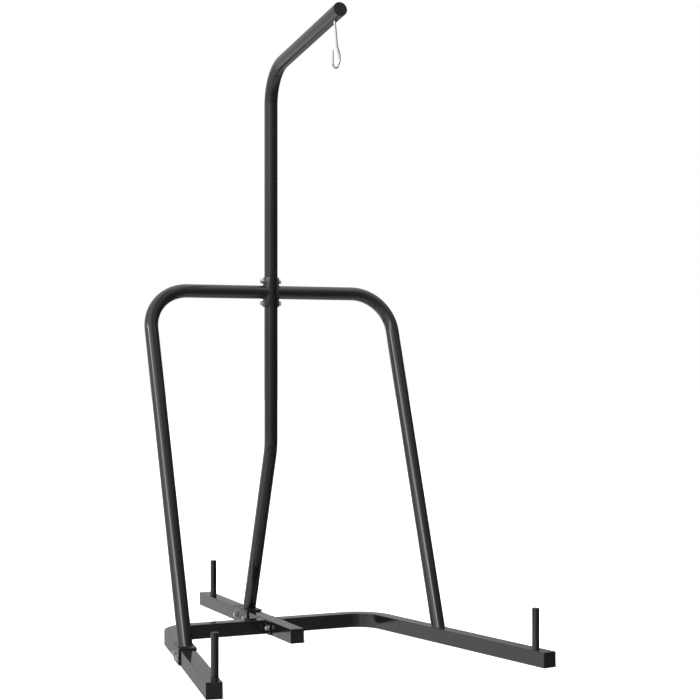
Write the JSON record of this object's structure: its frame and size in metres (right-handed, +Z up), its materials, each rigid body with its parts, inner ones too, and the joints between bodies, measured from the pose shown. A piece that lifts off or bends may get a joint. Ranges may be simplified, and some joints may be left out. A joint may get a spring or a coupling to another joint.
{
  "type": "punching bag stand",
  "caption": "Free-standing punching bag stand: splayed tube base with weight-plate pegs, an A-frame hoop, a mast with an overhead arm, and a swinging wire hook for the bag.",
  "frame": {"origin": "on the floor under the centre of the stand's overall box", "axes": "+Z is up, -Y is forward, the way the legs and the arm reach, and +X is the right-hand side seen from in front"},
  "size_m": [1.1862, 1.7049, 2.1557],
  "materials": {
    "base_paint": "semi-gloss black powder coat on square tube",
    "tube_paint": "semi-gloss black powder coat on round tube",
    "peg_paint": "semi-gloss black powder coat, lightly scuffed by plates",
    "plate_paint": "black powder coat on cut plate",
    "cap_plastic": "matte black moulded polyethylene",
    "zinc_hardware": "bright zinc plate",
    "hook_wire": "bright plated steel wire",
    "bare_sleeve": "bare steel, hidden inside the mast"
  },
  "bodies": {
    "stand": {"arm_end_cap": "cap_plastic", "base_rail_left": "base_paint", "base_rail_right": "base_paint", "beam_front_cap": "cap_plastic", "beam_rear_cap": "cap_plastic", "centre_beam": "base_paint", "flange_bolts": "zinc_hardware", "flange_nuts": "zinc_hardware", "flange_washers": "zinc_hardware", "hook_pin": "plate_paint", "hoop_foot_bolts": "zinc_hardware", "hoop_foot_bracket": "plate_paint", "hoop_foot_nuts": "zinc_hardware", "hoop_foot_washers": "zinc_hardware", "hoop_half_left": "tube_paint", "hoop_half_right": "tube_paint", "hoop_saddle_left": "plate_paint", "hoop_saddle_right": "plate_paint", "leg_end_cap_left": "cap_plastic", "leg_end_cap_right": "cap_plastic", "mast_foot_bolts": "zinc_hardware", "mast_foot_bracket": "plate_paint", "mast_foot_nuts": "zinc_hardware", "mast_foot_washers": "zinc_hardware", "mast_lower": "tube_paint", "mast_splice_sleeve": "bare_sleeve", "mast_upper": "tube_paint", "peg_cap_left": "cap_plastic", "peg_cap_rear": "cap_plastic", "peg_cap_right": "cap_plastic", "rail_flange_left": "plate_paint", "rail_flange_right": "plate_paint", "saddle_bolts": "zinc_hardware", "saddle_nuts": "zinc_hardware", "saddle_washers": "zinc_hardware", "weight_peg_left": "peg_paint", "weight_peg_rear": "peg_paint", "weight_peg_right": "peg_paint"},
    "hook": {"hanging_hook": "hook_wire"}
  },
  "joints": [
    {"name": "hook_swing", "type": "hinge", "parent": "stand", "child": "hook", "pos_m": [0, -0.43221, 2.12446], "axis": [1, 0, 0], "range_deg": [-15, 15]}
  ]
}
